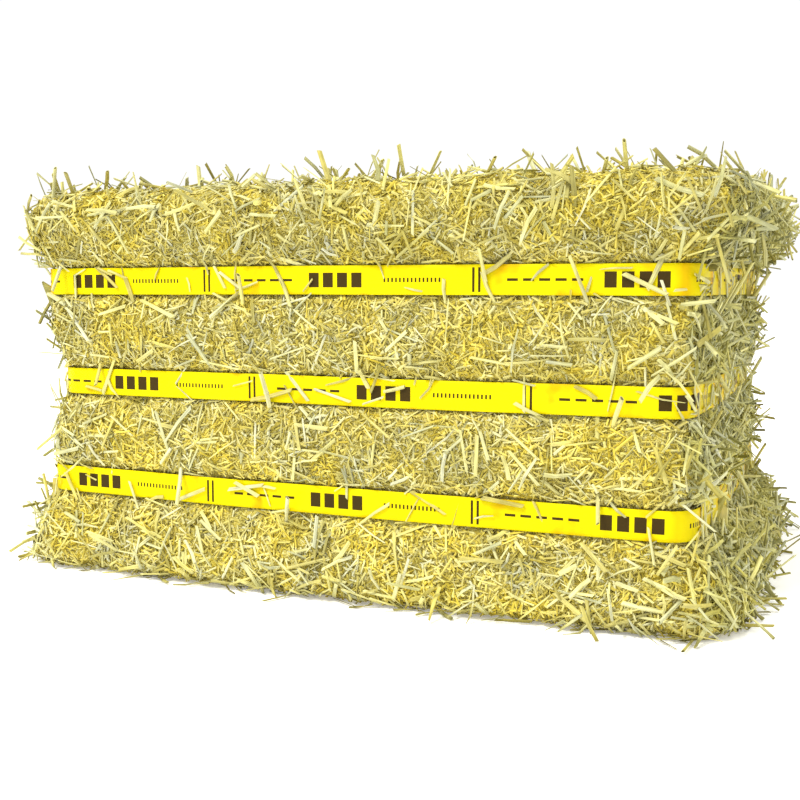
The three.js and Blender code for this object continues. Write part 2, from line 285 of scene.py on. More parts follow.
def lumps(x, y, z):
    """How far the bale's lumps stand out at some places: two soft slanting waves, and finer noise."""
    k = 2 * np.pi / LUMP_SIZE
    one = np.sin(k * (x + 0.6 * z)) * np.cos(k * 0.8 * (y - 0.4 * z))
    two = np.sin(k * 1.7 * (z + 0.3 * x) + 1.1) * np.cos(k * 1.3 * (x - y))
    fine = [noise.fractal((FINE_LUMPS * a, FINE_LUMPS * b, FINE_LUMPS * z), 1, 2, 3) for a, b in zip(x, y)]
    return LUMP_HEIGHT * (0.6 * one + 0.4 * two) + FINE_LUMP_HEIGHT * np.array(fine)


def skin_ring(height, inset, lumpy, z=None):
    """One ring of the straw's skin."""
    z = height if z is None else z
    x, y, nx, ny = outline(height, -inset - SKIN_DEPTH, SKIN_STEP).T
    out = lumpy * lumps(x, y, z)
    return np.stack([x + nx * out, y + ny * out, np.full(len(x), z)], 1)


def skin_rings():
    """The rings from the middle of the underside, up the walls and in over the crowned top."""
    low = skin_ring(0, FOOT_ROUND, 0, FLOOR_GAP)
    shares = np.linspace(INNER_RING, 1 - INNER_RING, UNDERSIDE_RINGS)
    rings = [low * (share, share, 1) for share in shares] + [low]
    turns = [math.radians(step) for step in ROUND_STEPS]
    for turn in turns:
        inset = FOOT_ROUND * (1 - math.sin(turn))
        z = FLOOR_GAP + (FOOT_ROUND - FLOOR_GAP) * (1 - math.cos(turn))
        rings.append(skin_ring(0, inset, ROUND_LUMPS, z))
    shoulder = GROOVE_HALF + GROOVE_SHOULDER
    low_edge = FOOT_ROUND
    for line in [*STRAP_LINES, None]:
        high_edge = line - shoulder if line else BALE_HEIGHT - EDGE_ROUND
        steps = round((high_edge - low_edge) / SKIN_STEP)
        rings += [skin_ring(z, 0, 1) for z in np.linspace(low_edge, high_edge, steps + 1)]
        if line:
            groove = np.linspace(line - GROOVE_HALF, line + GROOVE_HALF, GROOVE_RINGS)
            rings += [skin_ring(z, GROOVE_DEPTH, 0) for z in groove]
            low_edge = line + shoulder
    top = BALE_HEIGHT - SKIN_DEPTH
    for turn in reversed(turns):
        inset = EDGE_ROUND * (1 - math.sin(turn))
        z = top - EDGE_ROUND * (1 - math.cos(turn))
        rings.append(skin_ring(BALE_HEIGHT, inset, ROUND_LUMPS, z))
    lid = skin_ring(BALE_HEIGHT, EDGE_ROUND, 0, top)
    for share in np.linspace(1, INNER_RING, TOP_RINGS):
        x, y = lid[:, 0] * share, lid[:, 1] * share
        rise = TOP_CROWN * (1 - share) + (1 - share**8) * lumps(x, y, 0)
        rings.append(np.stack([x, y, top + rise], 1))
    return rings


def straw_skin():
    """The closed skin as a mesh. Each face is marked with the side it lies on, and each point with
    how loose the straws stand there and with whether it lies under a strap."""
    rings = skin_rings()
    count = len(rings[0])
    points = np.concatenate(rings)
    i = np.arange(count)
    after = (i + 1) % count
    quads = [
        np.stack([i + r * count, after + r * count, after + (r + 1) * count, i + (r + 1) * count], 1)
        for r in range(len(rings) - 1)
    ]
    faces = np.concatenate(quads).tolist()
    faces.append(list(range(count))[::-1])
    faces.append(list(range((len(rings) - 1) * count, len(rings) * count)))
    mesh = bpy.data.meshes.new("straw_skin")
    mesh.from_pydata(points.tolist(), [], faces)
    nx, ny, nz = read(mesh.polygons, "normal", 3).T
    level = read(mesh.polygons, "center", 3)[:, 2]
    across = np.where(np.abs(nx) > np.abs(ny), np.where(nx > 0, RIGHT, LEFT), np.where(ny < 0, FRONT, BACK))
    on_top = (nz > 0.6) & (level > BALE_HEIGHT - EDGE_ROUND)
    below = (nz < -0.9) & (level < FOOT_ROUND)
    side = np.where(on_top, TOP, np.where(below, BOTTOM, across))
    mark(mesh, "side", "INT", "FACE", side.astype(np.int32))
    x, y, z = points.T
    rim = np.minimum(z, BALE_HEIGHT - z)
    corner = np.maximum(BALE_LENGTH / 2 - np.abs(x), BALE_DEPTH / 2 - np.abs(y))
    loose = np.clip(1 - np.minimum(rim, np.maximum(corner, 0)) / LOOSE_REACH, 0, 1)
    mark(mesh, "loose", "FLOAT", "POINT", np.where(z < FOOT_ROUND, FOOT_FRINGE, loose))
    under = np.abs(z[:, None] - STRAP_LINES).min(1) < GROOVE_HALF + HAIR
    mark(mesh, "under_strap", "FLOAT", "POINT", under.astype(float))
    mesh.shade_smooth()
    return mesh


def matted_chaff():
    """Short chips of straw that lie over each other in all directions, each with a tint of its own, and
    painted shade on the chips that lie lower between the others.
    """
    made, tree, shader = new_material("matted chaff", Roughness=0.9, Specular_IOR_Level=0.1)
    place = add_node(tree, "ShaderNodeTexCoord").outputs["Object"]
    thin, long = 520, 110  # chips per metre, across and along them
    turns = ((0.3, 0.2, 0.5), (1.3, 0.5, 1.2), (0.6, 1.0, 2.1), (2.0, 1.4, 0.1), (0.9, 2.2, 2.8))
    height, tint = None, None
    for layer, turn in enumerate(turns):
        shift = (0.1 * layer, 0, 0)
        turned = result(tree, "ShaderNodeMapping", {0: place, 1: shift, 2: turn}, vector_type="POINT")
        stretched = vector_node(tree, "MULTIPLY", turned, (long, thin, thin))
        cell = add_node(tree, "ShaderNodeTexVoronoi", {"Vector": stretched, "Scale": 1.0})
        own = add_node(tree, "ShaderNodeSeparateColor", {0: cell.outputs["Color"]}).outputs
        rise = math_node(tree, "SUBTRACT", own[0], cell.outputs["Distance"])
        if height is None:
            height, tint = rise, own[1]
            continue
        tint = mixed(tree, math_node(tree, "GREATER_THAN", rise, height), tint, own[1])
        height = math_node(tree, "MAXIMUM", height, rise)
    chips = screen_ramp(tree, tint, [
        (0.0, 176, 158, 56), (0.3, 208, 190, 84), (0.6, 218, 204, 108), (1.0, 220, 210, 140),
    ])
    # Painted shade: chips that lie lower between the others are darker.
    painted_chip_shade = rescaled(tree, height, 0.0, 0.45, 0.6, 1.0)
    finish_shader(tree, shader, vector_node(tree, "SCALE", chips, painted_chip_shade), height, 0.0025, 1)
    return made


skin_mesh = straw_skin()
skin_mesh.materials.append(matted_chaff())
straw_bed = add_object("straw_bed", skin_mesh)
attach(straw_bed, "root")
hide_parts("straw")


# The single straws
# Wheat stems cut to 5 to 45 mm by the chopper: most are crushed or split into flat chaff, some
# are still round and hollow. Each is laid on the skin or in it, pressed flat under the straps.
SLANT = 0.06  # how far the cut ends slant
WALL_SHARE = 0.86  # of a straw's map goes to its sides, the rest to its two ends
MAP_MARGIN = 0.05  # left free round each cell of a baking map, as a share of the cell
RIM_SIZE = 0.68  # a hollow end's inner edge, as a share of its outer one
RIM_SHADE = 0.6  # painted shade on a hollow end's rim, as a share of that in the recess behind it
RECESS = 0.1  # how deep a hollow end shows, as a share of the straw's length
CAP_PLACES = (0.05, 0.95)  # along a straw's map, for its first end and its last
CAP_HALF = 0.045  # half the length of an end on the map
CAP_FILL = 0.9  # of the map's room across, for an end
FOOT_SHADE_HEIGHT = 0.012  # painted shade: the straws are darker below this height, near the floor
LEAN_IN = 0.15  # the share of the tilt that the straws lean into the bale instead of out of it
MOSTLY_FLAT = 1.5  # above 1, more straws lie flat than stand
MOSTLY_SHORT = 1.6
ROLL = 0.6  # radians either way about a straw's length
KIT_PICKS = 97
SWAYS = 38.0  # bends per metre
UNDERSIDE = 0.3  # how far under a straw's middle line its underside is, as a share of its width
BAND_MARGIN = 0.0012  # a strap presses the straws this far past its edge
PRESS_REACH = 0.006  # a strap presses the straws that stand no higher than this
EDGE_DIP = 0.002  # how deep the pressed straws lie at a strap's edge
OVER_GAP = 0.0022  # how high the straws over a strap lie, from its inner face
FLOOR_CLEARANCE = 0.0008


def round_section(sides, width, thickness, offset=0.0):
    return [
        (width / 2 * math.cos(2 * math.pi * (i + offset) / sides),
         thickness / 2 * math.sin(2 * math.pi * (i + offset) / sides))
        for i in range(sides)
    ]


def add_mapped_face(shape, corners):
    """A face from pairs of a vertex and its place on the straw's map."""
    straw_map = shape.loops.layers.uv["StrawUV"]
    face = shape.faces.new([vert for vert, _ in corners])
    for loop, (_, place) in zip(face.loops, corners):
        loop[straw_map].uv = place


def close_end(shape, ring, is_last, hollow):
    """The end of a straw: a flat cut, or a rim with a recess behind it, both marked for painted shade."""
    inside = shape.verts.layers.float["inside"]
    count = len(ring)
    order = range(count) if is_last else range(count)[::-1]
    ring = [ring[i] for i in order]
    middle = sum((vert.co for vert in ring), Vector()) / count
    half_map = (1 - WALL_SHARE) / 2

    def on_map(i, size):
        angle = 2 * math.pi * order[i % count] / count
        u = CAP_PLACES[is_last] + CAP_HALF * size * math.cos(angle)
        return u, 1 - half_map + CAP_FILL * half_map * size * math.sin(angle)

    if not hollow:
        add_mapped_face(shape, [(vert, on_map(i, 1)) for i, vert in enumerate(ring)])
        return
    rim = [shape.verts.new(middle + (vert.co - middle) * RIM_SIZE) for vert in ring]
    deep = shape.verts.new(middle + Vector((-RECESS if is_last else RECESS, 0, 0)))
    # The rim and the recess are marked for their painted shade.
    for vert in rim:
        vert[inside] = RIM_SHADE
    deep[inside] = 1
    for i in range(count):
        after = (i + 1) % count
        near_rim = (rim[i], on_map(i, RIM_SIZE))
        far_rim = (rim[after], on_map(i + 1, RIM_SIZE))
        add_mapped_face(shape, [(ring[i], on_map(i, 1)), (ring[after], on_map(i + 1, 1)), far_rim, near_rim])
        add_mapped_face(shape, [near_rim, far_rim, (deep, on_map(i, 0))])


def sweep(name, section, stations, hollow=False):
    """A straw of unit length along X: a section (y, z) carried through stations (x, y, z, size, twist).
    An end of size 0 is a point, others are cut on a slant."""
    shape = bmesh.new()
    shape.loops.layers.uv.new("StrawUV")
    shape.verts.layers.float.new("inside")
    level = shape.verts.layers.float.new("level")
    count = len(section)
    rings = []
    for x, y, z, size, twist in stations:
        if size == 0:
            rings.append([shape.verts.new((x - 0.5, y, z))] * count)
            continue
        turn = Matrix.Rotation(twist, 2)
        spots = [turn @ Vector(p) * size for p in section]
        slant = SLANT if x in (0, 1) else 0
        rings.append([shape.verts.new((x - 0.5 + slant * p[0], y + p[0], z + p[1])) for p in spots])
        for vert, p in zip(rings[-1], spots):
            vert[level] = p[1]
    for r in range(len(stations) - 1):
        near, far = rings[r], rings[r + 1]
        for i in range(count):
            after = (i + 1) % count
            corners = [
                (near[i], r, i), (near[after], r, i + 1), (far[after], r + 1, i + 1), (far[i], r + 1, i)
            ]
            if stations[r][3] == 0:
                corners = [(near[0], r, i + 0.5), *corners[2:]]
            elif stations[r + 1][3] == 0:
                corners = [*corners[:2], (far[0], r + 1, i + 0.5)]
            add_mapped_face(shape, [
                (vert, (stations[station][0], WALL_SHARE * spot / count)) for vert, station, spot in corners
            ])
    for end in (0, -1):
        if stations[end][3] > 0:
            close_end(shape, rings[end], end == -1, hollow)
    mesh = bpy.data.meshes.new(name)
    shape.to_mesh(mesh)
    shape.free()
    return bpy.data.objects.new(name, mesh)


def kit(name, shapes):
    """A collection of straws to pick from, each a section, its stations and whether it is hollow."""
    made = bpy.data.collections.new(name)
    for number, shape in enumerate(shapes, 1):
        made.objects.link(sweep(f"{name}_{number}", *shape))
    return made


sliver = [(-0.5, -0.2), (0.5, -0.12), (0.05, 0.26)]
flat = [(-0.5, -0.1), (0.5, -0.14), (0.42, 0.16), (-0.44, 0.18)]
tube = round_section(6, 1, 0.74)
crushed = round_section(6, 1.15, 0.42, 0.5)
half_pipe = [
    (0.5, 0.05), (0.3, 0.36), (-0.3, 0.36), (-0.5, 0.05),
    (-0.36, 0.05), (-0.2, 0.24), (0.2, 0.24), (0.36, 0.05),
]
flake_kit = kit("flake", [
    (sliver, [(0, 0, 0, 1, 0), (1, 0.2, 0, 0, 0)]),
    (sliver, [(0, 0, 0, 0, 0), (0.35, 0.2, 0.1, 1, 0.3), (1, 0, 0, 0, 0)]),
    (sliver, [(0, 0, 0, 0.9, 0.4), (1, -0.3, 0.2, 0.8, 0)]),
])
chaff_kit = kit("chaff", [
    (sliver, [(0, 0, 0, 1, 0), (1, 0, 0, 0.8, 0.3)]),
    (sliver, [(0, 0, 0, 0.5, 0), (1, 0.3, 0.2, 1, -0.4)]),
    (sliver, [(0, 0, 0, 1, 0), (1, -0.2, 0, 0, 0)]),
])
split_kit = kit("split", [
    (sliver, [(0, 0, 0, 0.8, 0), (0.5, 0.4, 0.3, 1, 0.2), (1, 0, 0, 0.6, 0.5)]),
    (flat, [(0, 0, 0, 0.9, 0), (0.55, -0.3, 0.4, 1, 0.3), (1, 0.2, -0.2, 0.7, 0.6)]),
    (flat, [(0, 0, 0, 1, 0), (1, 0, 0, 0.9, -0.3)]),
    (half_pipe, [(0, 0, 0, 1, 0), (1, 0, 0, 0.9, 0.3)]),
])
stem_kit = kit("stem", [
    (tube, [(0, 0, 0, 1, 0), (1, 0, 0, 0.96, 0)], True),
    (tube, [(0, 0, 0, 0.9, 0), (0.6, 0.25, 0.2, 1, 0.1), (1, 0, 0, 0.92, 0.2)], True),
    (crushed, [(0, 0, 0, 1, 0), (0.45, -0.3, 0.15, 1.02, 0.2), (1, 0.1, 0, 0.9, 0.5)]),
    (half_pipe, [(0, 0, 0, 1, 0), (1, 0, 0, 0.9, 0.3)]),
    (crushed, [(0, 0, 0, 1, 0), (1, 0, 0, 0.85, 0)]),
])


def own_value(tree, name):
    """The number that the mesh has stored under a name."""
    return add_node(tree, "ShaderNodeAttribute", attribute_name=name).outputs["Fac"]


def clouds(tree, place, scale):
    """Soft noise, about 0.5."""
    return result(tree, "ShaderNodeTexNoise", {"Vector": place, "Scale": scale, "Detail": 2})


def straw_material(name, stops, roughness, deep, patches, height_light):
    """Straw of one kind: each straw has its own tint, with fine streaks along it, painted shade in its
    hollow end, and an olive painted shade where it lies deep among the others.
    Golden and grey patches go over all the straws in a place. Painted light makes the straws a little paler
    low on the bale and darker high on it, and painted shade darkens them where the bale stands on the floor."""
    made, tree, shader = new_material(name, Roughness=roughness, Specular_IOR_Level=0.15)
    plain = [1, 1, 1, 1]
    tint = own_value(tree, "tint")
    total = screen_ramp(tree, tint, stops)
    place = add_node(tree, "ShaderNodeTexCoord").outputs["Object"]
    z = add_node(tree, "ShaderNodeSeparateXYZ", {0: place}).outputs[2]
    golden = [1 + 0.05 * patches, 1 + 0.01 * patches, 1 - 0.38 * patches, 1]
    grey = [1 - 0.12 * patches, 1 - 0.08 * patches, 1 + 0.16 * patches, 1]
    # Painted shade: straws that lie deep among the others are darker and more olive, down to deep times
    # their own colour.
    sunk_shade_colour = [deep, deep * 0.98, deep * 0.72, 1]
    height_for_shade = rescaled(tree, own_value(tree, "height"), -0.003, 0.003)
    for tinted in (
        ramp(tree, clouds(tree, place, 26), [(0.40, golden), (0.52, plain), (0.64, grey)]),
        # Painted shade near the floor, where the bale stands on it.
        ramp(tree, rescaled(tree, z, 0.002, FOOT_SHADE_HEIGHT), [(0.0, [0.5, 0.48, 0.34, 1]), (1.0, plain)]),
        ramp(tree, height_for_shade, [(0.0, sunk_shade_colour), (1.0, plain)]),
    ):
        total = vector_node(tree, "MULTIPLY", total, tinted)
    clump_shade = rescaled(tree, clouds(tree, place, 48), 0.36, 0.6, 0.74, 0.99)
    # Painted light: the straws are lighter low on the bale and darker high on it.
    painted_height_light = rescaled(tree, z, 0.0, BALE_HEIGHT, 1 + height_light, 1 - height_light)
    total = vector_node(tree, "SCALE", total, math_node(tree, "MULTIPLY", clump_shade, painted_height_light))
    along = result(tree, "ShaderNodeUVMap", uv_map="StrawUV")
    spot = vector_node(tree, "MULTIPLY", along, (2.2, 9, 1))
    own_streaks = math_node(tree, "MULTIPLY", tint, 37.0)
    streaks = result(
        tree, "ShaderNodeTexNoise", {"Vector": spot, "W": own_streaks, "Scale": 1, "Detail": 2},
        noise_dimensions="4D",
    )
    shade = rescaled(tree, streaks, 0.3, 0.7, 0.76, 1.14)
    # Painted shade in a hollow end's recess and on its rim.
    hollow = math_node(tree, "MULTIPLY", own_value(tree, "inside"), 0.7)
    open_end = math_node(tree, "SUBTRACT", 1.0, hollow)
    total = vector_node(tree, "SCALE", total, math_node(tree, "MULTIPLY", shade, open_end))
    finish_shader(tree, shader, total, streaks, 0.0006, 0.6)
    return made


chaff_finish = straw_material("dry chaff", [
    (0.0, 176, 158, 60), (0.2, 206, 190, 88), (0.5, 220, 206, 112),
    (0.75, 224, 214, 138), (1.0, 224, 220, 168),
], roughness=0.75, deep=0.7, patches=1.0, height_light=0.08)
stem_finish = straw_material("dry stems", [
    (0.0, 166, 158, 90), (0.2, 198, 188, 110), (0.45, 214, 208, 138),
    (0.7, 222, 218, 158), (0.85, 190, 190, 144), (1.0, 222, 220, 180),
], roughness=0.55, deep=0.65, patches=0.5, height_light=0.08)
# A greyer, darker copy of the straw: painted shade for the bale's shaded ends and the straws standing at its
# top rim.
end_finish = straw_material("straw painted with shade", [
    (0.0, 154, 148, 78), (0.25, 184, 178, 104), (0.5, 200, 196, 128),
    (0.75, 186, 186, 138), (1.0, 212, 210, 162),
], roughness=0.65, deep=0.84, patches=0.6, height_light=0.18)


RIBBON_STEP = 0.02


def strap_line_mesh():
    """Ribbons along the inner face of each strap, wider than it, which press the straw flat."""
    verts = []
    faces = []
    for line in STRAP_LINES:
        ring = outline(line, 0, RIBBON_STEP)
        count = len(ring)
        first = len(verts)
        for side in (-1, 1):
            verts += [(x, y, line + side * STRAP_WIDTH) for x, y, _, _ in ring]
        for i in range(count):
            after = (i + 1) % count
            faces.append((first + i, first + after, first + count + after, first + count + i))
    mesh = bpy.data.meshes.new("strap_line")
    mesh.from_pydata(verts, [], faces)
    return mesh


def new_tree(name, taken, sockets, made):
    """A Geometry Nodes tree that takes one geometry and makes another: the tree and its inputs."""
    tree = bpy.data.node_groups.new(name, "GeometryNodeTree")
    tree.is_modifier = True
    for socket, kind in ((taken, "Geometry"), *sockets):
        tree.interface.new_socket(socket, in_out="INPUT", socket_type=f"NodeSocket{kind}")
    tree.interface.new_socket(made, in_out="OUTPUT", socket_type="NodeSocketGeometry")
    return tree, tree.nodes.new("NodeGroupInput").outputs


def random_value(tree, low, high, seed, offset):
    """A random number for each straw, from the tree's seed and an offset of its own."""
    own_seed = math_node(tree, "ADD", seed, float(offset))
    made = add_node(tree, "FunctionNodeRandomValue", {2: low, 3: high, "Seed": own_seed})
    return made.outputs[1]


def named(tree, name, kind="FLOAT"):
    """What the geometry has stored under a name."""
    made = add_node(tree, "GeometryNodeInputNamedAttribute", {"Name": name}, data_type=kind)
    return made.outputs["Attribute"]


def store(tree, geometry, name, value, domain, kind="FLOAT"):
    """The geometry with a value stored under a name."""
    return result(
        tree, "GeometryNodeStoreNamedAttribute", {"Geometry": geometry, "Name": name, "Value": value},
        data_type=kind, domain=domain,
    )


def moved(tree, geometry, **change):
    """The geometry with its points moved by an Offset or to a Position."""
    return result(tree, "GeometryNodeSetPosition", {"Geometry": geometry, **change})


def vector_of(tree, *values):
    """A vector from its x, y and z."""
    return result(tree, "ShaderNodeCombineXYZ", dict(enumerate(values)))


def turned_by(tree, facing, *angles):
    """A facing turned further, by angles about its own x, y and z."""
    turn = result(tree, "FunctionNodeEulerToRotation", {0: vector_of(tree, *angles)})
    return result(tree, "FunctionNodeRotateRotation", {0: facing, 1: turn}, rotation_space="LOCAL")


def placed_kit(tree, given, points, facing, length, width, picked):
    shapes = result(tree, "GeometryNodeCollectionInfo", {
        "Collection": given["Kit"], "Separate Children": True, "Reset Children": True,
    })
    return result(tree, "GeometryNodeInstanceOnPoints", {
        "Points": points, "Instance": shapes, "Pick Instance": True, "Rotation": facing,
        "Scale": vector_of(tree, length, width, width), **picked,
    })


def realized(tree, straws):
    """The straws as one mesh, in which the points of each keep its number."""
    number = result(tree, "GeometryNodeInputIndex")
    numbered = store(tree, straws, "straw", number, "INSTANCE", "INT")
    return result(tree, "GeometryNodeRealizeInstances", {"Geometry": numbered})


def height_over(tree, mesh):
    """How high each point stands over the nearest place of a mesh, and which way is out there."""
    place = result(tree, "GeometryNodeInputPosition")

    def nearest(value):
        return result(
            tree, "GeometryNodeSampleNearestSurface",
            {"Mesh": mesh, "Value": value, "Sample Position": place}, data_type="FLOAT_VECTOR",
        )

    out = nearest(result(tree, "GeometryNodeInputNormal"))
    away = vector_node(tree, "SUBTRACT", place, nearest(place))
    return vector_node(tree, "DOT_PRODUCT", away, out), out


def end_tree(tree, straws, finish):
    """The tree's last steps: the finish of the straws, and the way out."""
    finished = result(tree, "GeometryNodeSetMaterial", {"Geometry": straws, "Material": finish})
    tree.links.new(finished, tree.nodes.new("NodeGroupOutput").inputs[0])
    return tree


def laying_tree():
    """Lays straws from a kit on one side of the skin, bends them, presses them under the straps."""
    numbers = (
        "Per square metre", "Beside straps", "On straps", "Only loose", "Shortest", "Longest",
        "Narrowest", "Widest", "Deepest", "Highest", "Flat tilt", "Loose tilt", "Rooted",
        "Over straps", "Bend",
    )
    tree, given = new_tree("Laid straw", "Skin", [
        ("Kit", "Collection"), ("Strap line", "Object"), ("Finish", "Material"), ("Side", "Int"),
        ("Seed", "Int"), *((name, "Float") for name in numbers),
    ], "Straws")
    seed = given["Seed"]

    # Where the straws are
    on_side = result(
        tree, "FunctionNodeCompare", {2: named(tree, "side", "INT"), 3: given["Side"]},
        data_type="INT", operation="EQUAL",
    )
    loose = named(tree, "loose")
    by_strap = mixed(tree, named(tree, "under_strap"), given["Beside straps"], given["On straps"])
    by_rim = mixed(tree, given["Only loose"], 1.0, loose)
    share = math_node(tree, "MULTIPLY", by_strap, by_rim)
    density = math_node(tree, "MULTIPLY", given["Per square metre"], share)
    spots = add_node(
        tree, "GeometryNodeDistributePointsOnFaces",
        {"Mesh": given["Skin"], "Selection": on_side, "Density": density, "Seed": seed},
        distribute_method="RANDOM",
    ).outputs

    # How each one lies
    lift = random_value(tree, given["Deepest"], given["Highest"], seed, 11)
    raised = moved(tree, spots["Points"], Offset=vector_node(tree, "SCALE", spots["Normal"], lift))
    standing = math_node(tree, "POWER", random_value(tree, 0.0, 1.0, seed, 12), MOSTLY_FLAT)
    most_tilt = mixed(tree, loose, given["Flat tilt"], given["Loose tilt"])
    tilt = math_node(tree, "MULTIPLY", most_tilt, math_node(tree, "SUBTRACT", LEAN_IN, standing))
    roll = random_value(tree, -ROLL, ROLL, seed, 13)
    way = random_value(tree, 0.0, 2 * math.pi, seed, 14)
    facing = turned_by(tree, spots["Rotation"], roll, tilt, way)
    long = math_node(tree, "POWER", random_value(tree, 0.0, 1.0, seed, 15), MOSTLY_SHORT)
    length = mixed(tree, long, given["Shortest"], given["Longest"])
    width = random_value(tree, given["Narrowest"], given["Widest"], seed, 16)
    pick = add_node(
        tree, "FunctionNodeRandomValue",
        {4: 0, 5: KIT_PICKS, "Seed": math_node(tree, "ADD", seed, 17.0)}, data_type="INT",
    ).outputs[2]
    straws = placed_kit(tree, given, raised, facing, length, width, {"Instance Index": pick})
    reach = vector_of(tree, math_node(tree, "MULTIPLY", given["Rooted"], 0.5))
    straws = result(
        tree, "GeometryNodeTranslateInstances",
        {"Instances": straws, "Translation": reach, "Local Space": True},
    )
    lies_over = math_node(tree, "LESS_THAN", random_value(tree, 0.0, 1.0, seed, 18), given["Over straps"])
    straws = store(tree, straws, "tint", random_value(tree, 0.0, 1.0, seed, 19), "INSTANCE")
    straws = store(tree, straws, "over", lies_over, "INSTANCE")
    straws = realized(tree, store(tree, straws, "width", width, "INSTANCE"))

    # The bend of the straws
    place = result(tree, "GeometryNodeInputPosition")
    sway = add_node(
        tree, "ShaderNodeTexNoise", {"Vector": place, "Scale": SWAYS, "Detail": 0.0}
    ).outputs["Color"]
    bent = vector_node(tree, "SCALE", vector_node(tree, "SUBTRACT", sway, (0.5, 0.5, 0.5)), given["Bend"])
    straws = moved(tree, straws, Offset=bent)

    # The press of the straps on the straws under them, and the rise of the straws that lie over them
    ribbon = add_node(tree, "GeometryNodeObjectInfo", {"Object": given["Strap line"]}).outputs["Geometry"]
    above, out = height_over(tree, ribbon)
    x, y, z = add_node(tree, "ShaderNodeSeparateXYZ", {0: place}).outputs
    lowest, highest = STRAP_LINES[0], STRAP_LINES[-1]
    inner_z = math_node(tree, "MINIMUM", math_node(tree, "MAXIMUM", z, lowest), highest)
    past = math_node(tree, "ABSOLUTE", math_node(tree, "SUBTRACT", z, inner_z))
    between = math_node(tree, "PINGPONG", math_node(tree, "SUBTRACT", inner_z, lowest), STRAP_PITCH / 2)
    off_line = math_node(tree, "ADD", past, between)
    in_band = math_node(tree, "LESS_THAN", off_line, STRAP_WIDTH / 2 + BAND_MARGIN)
    near_strap = math_node(tree, "LESS_THAN", above, PRESS_REACH)
    from_edge = math_node(tree, "SUBTRACT", off_line, STRAP_WIDTH / 2 + EDGE_DIP)
    pressed = math_node(tree, "MINIMUM", 0.0, math_node(tree, "SUBTRACT", from_edge, above))
    under_move = math_node(tree, "MULTIPLY", pressed, near_strap)
    from_underside = math_node(tree, "ADD", named(tree, "level"), UNDERSIDE)
    own_level = math_node(tree, "MULTIPLY", from_underside, named(tree, "width"))
    over_strap = math_node(tree, "ADD", own_level, OVER_GAP)
    over_move = math_node(tree, "MAXIMUM", 0.0, math_node(tree, "SUBTRACT", over_strap, above))
    move = math_node(tree, "MULTIPLY", mixed(tree, named(tree, "over"), under_move, over_move), in_band)
    straws = moved(tree, straws, Offset=vector_node(tree, "SCALE", out, move))

    # The floor, which no straw goes through
    lowest_place = math_node(tree, "ADD", own_level, FLOOR_CLEARANCE)
    on_floor = vector_of(tree, x, y, math_node(tree, "MAXIMUM", z, lowest_place))
    straws = moved(tree, straws, Position=on_floor)
    straws = store(tree, straws, "height", height_over(tree, given["Skin"])[0], "POINT")
    return end_tree(tree, straws, given["Finish"])


def run_tree(tree, mesh, values):
    """The plain mesh that a tree makes from a mesh, with the tree's inputs set by their names."""
    host = add_object("host", mesh)
    modifier = host.modifiers.new(tree.name, "NODES")
    modifier.node_group = tree
    for socket in tree.interface.items_tree:
        if socket.in_out == "INPUT" and socket.name in values:
            modifier[socket.identifier] = values[socket.name]
    view = bpy.context.evaluated_depsgraph_get()
    made = bpy.data.meshes.new_from_object(
        host.evaluated_get(view), preserve_all_data_layers=True, depsgraph=view
    )
    host.modifiers.clear()
    bpy.data.objects.remove(host)
    return made


def add_straw_map(mesh):
    """The map that the surface is baked through: a grid with a cell for each straw."""
    straw = read(mesh.attributes["straw"].data, "value", kind=np.int32)
    along = read(mesh.uv_layers["StrawUV"].data, "uv", 2, np.float32)
    cell_shape = 3  # cells are this many times as wide as high
    columns = math.ceil(math.sqrt((straw.max() + 1) / cell_shape))
    rows = math.ceil((straw.max() + 1) / columns)
    own = straw[read(mesh.loops, "vertex_index", kind=np.int32)]
    cell = np.stack([own % columns, own // columns], 1)
    inner = MAP_MARGIN + (1 - 2 * MAP_MARGIN) * along
    laid_out = ((cell + inner) / (columns, rows)).astype(np.float32)
    mesh.uv_layers.new(name="OFBake").data.foreach_set("uv", laid_out.ravel())


def join_meshes(name, meshes):
    """One object from several meshes, whose straws are numbered on from one mesh to the next. What
    was stored only for the making is taken off it."""
    first = 0
    for mesh in meshes:
        straw = mesh.attributes["straw"].data
        numbers = read(straw, "value", kind=np.int32)
        straw.foreach_set("value", numbers + first)
        first += numbers.max() + 1
    parts = [add_object(name, mesh) for mesh in meshes]
    with bpy.context.temp_override(active_object=parts[0], selected_editable_objects=parts):
        bpy.ops.object.join()
    joined = parts[0].data
    add_straw_map(joined)
    for stored in ("straw", "side", "loose", "under_strap", "over", "width", "level", "id", "run"):
        if stored in joined.attributes:
            joined.attributes.remove(joined.attributes[stored])
    return parts[0]


laying = laying_tree()
strap_line = bpy.data.objects.new("strap_line", strap_line_mesh())
PLAIN = {"Strap line": strap_line, "Beside straps": 1.0, "Bend": 0.003}
FLAKES = {
    **PLAIN, "Kit": flake_kit, "Finish": chaff_finish, "Shortest": 0.005, "Longest": 0.012,
    "Narrowest": 0.0017, "Widest": 0.0032, "Deepest": -0.001, "Highest": 0.003,
    "Flat tilt": 0.45, "Loose tilt": 0.6, "Bend": 0.001,
}
CHAFF = {
    **PLAIN, "Kit": chaff_kit, "Finish": chaff_finish, "Shortest": 0.007, "Longest": 0.019,
    "Narrowest": 0.0013, "Widest": 0.0024, "Deepest": -0.0005, "Highest": 0.004,
    "Flat tilt": 0.45, "Loose tilt": 0.7, "Over straps": 0.04,
}
SPLIT = {
    **PLAIN, "Kit": split_kit, "Finish": stem_finish, "Shortest": 0.014, "Longest": 0.042,
    "Narrowest": 0.0014, "Widest": 0.0026, "Deepest": 0.0005, "Highest": 0.005,
    "Flat tilt": 0.4, "Loose tilt": 0.8, "Over straps": 0.16,
}
STEMS = {
    **PLAIN, "Kit": stem_kit, "Finish": stem_finish, "Shortest": 0.018, "Longest": 0.045,
    "Narrowest": 0.0026, "Widest": 0.0042, "Deepest": 0.002, "Highest": 0.006,
    "Flat tilt": 0.3, "Loose tilt": 0.9,
}
